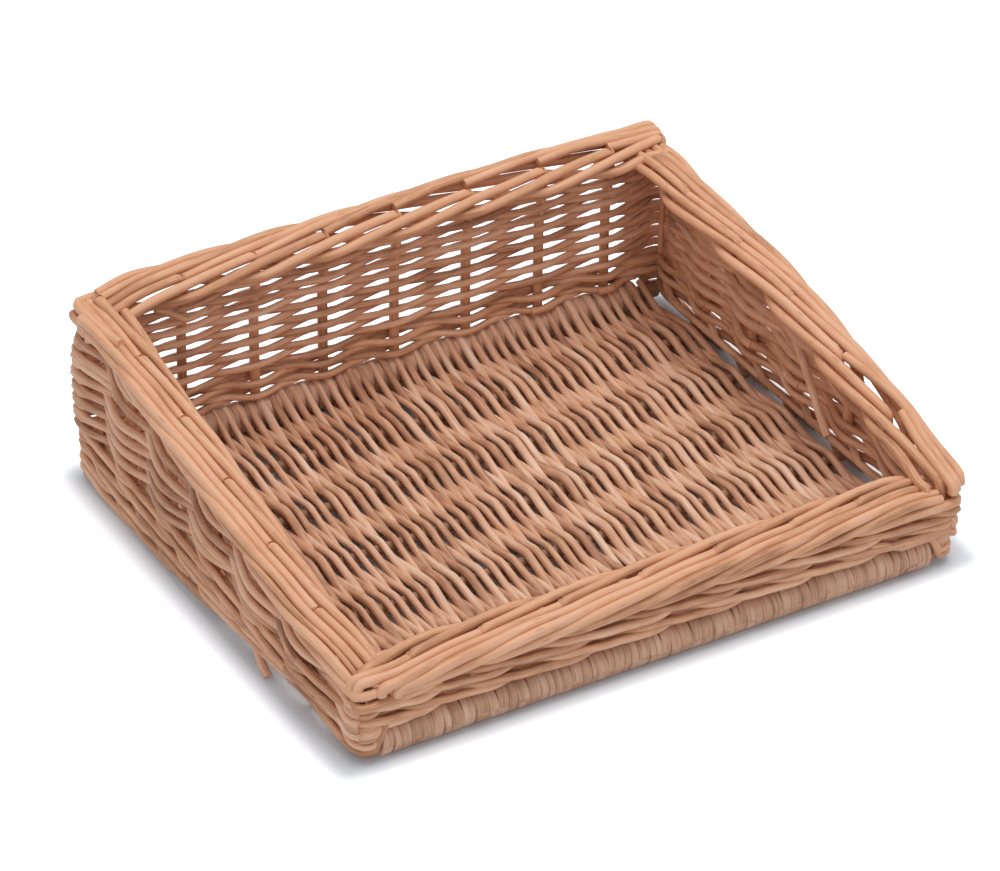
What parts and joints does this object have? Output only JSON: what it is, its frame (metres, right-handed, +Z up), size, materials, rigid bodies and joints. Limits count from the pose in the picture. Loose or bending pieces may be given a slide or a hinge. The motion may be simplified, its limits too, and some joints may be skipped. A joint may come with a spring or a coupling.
{
  "type": "wicker display tray",
  "caption": "Rectangular woven willow display tray with a low front, a high back, sloping side walls and a rod border all round.",
  "frame": {"origin": "on the table under the middle of the tray", "axes": "+X along the low front to the right, +Y from the low front to the high back, +Z up"},
  "size_m": [0.4616, 0.3844, 0.1461],
  "materials": {
    "stick_willow": "matt buff willow",
    "floor_willow": "satin buff willow",
    "weave_willow": "satin buff willow",
    "stake_willow": "satin buff willow",
    "border_willow": "satin buff willow"
  },
  "bodies": {
    "root": {"base_front_stick": "stick_willow", "base_stick_1": "stick_willow", "base_stick_2": "stick_willow", "base_stick_3": "stick_willow", "base_stick_4": "stick_willow", "base_stick_5": "stick_willow", "base_rear_stick": "stick_willow", "floor_weave": "floor_willow", "front_wale": "weave_willow", "right_wale": "weave_willow", "back_wale": "weave_willow", "left_wale": "weave_willow", "right_wall_weave": "weave_willow", "back_wall_weave": "weave_willow", "left_wall_weave": "weave_willow", "front_corner_post": "stake_willow", "front_stake_1": "stake_willow", "front_stake_2": "stake_willow", "front_stake_3": "stake_willow", "front_stake_4": "stake_willow", "front_stake_5": "stake_willow", "front_stake_6": "stake_willow", "front_stake_7": "stake_willow", "right_corner_post": "stake_willow", "right_stake_1": "stake_willow", "right_stake_2": "stake_willow", "right_stake_3": "stake_willow", "right_stake_4": "stake_willow", "right_stake_5": "stake_willow", "back_corner_post": "stake_willow", "back_stake_1": "stake_willow", "back_stake_2": "stake_willow", "back_stake_3": "stake_willow", "back_stake_4": "stake_willow", "back_stake_5": "stake_willow", "back_stake_6": "stake_willow", "back_stake_7": "stake_willow", "left_corner_post": "stake_willow", "left_stake_1": "stake_willow", "left_stake_2": "stake_willow", "left_stake_3": "stake_willow", "left_stake_4": "stake_willow", "left_stake_5": "stake_willow", "front_border_filler_1": "border_willow", "front_border_filler_2": "border_willow", "front_border_filler_3": "border_willow", "right_border_filler_1": "border_willow", "right_border_filler_2": "border_willow", "right_border_filler_3": "border_willow", "back_border_filler_1": "border_willow", "back_border_filler_2": "border_willow", "back_border_filler_3": "border_willow", "left_border_filler_1": "border_willow", "left_border_filler_2": "border_willow", "left_border_filler_3": "border_willow"}
  },
  "joints": []
}
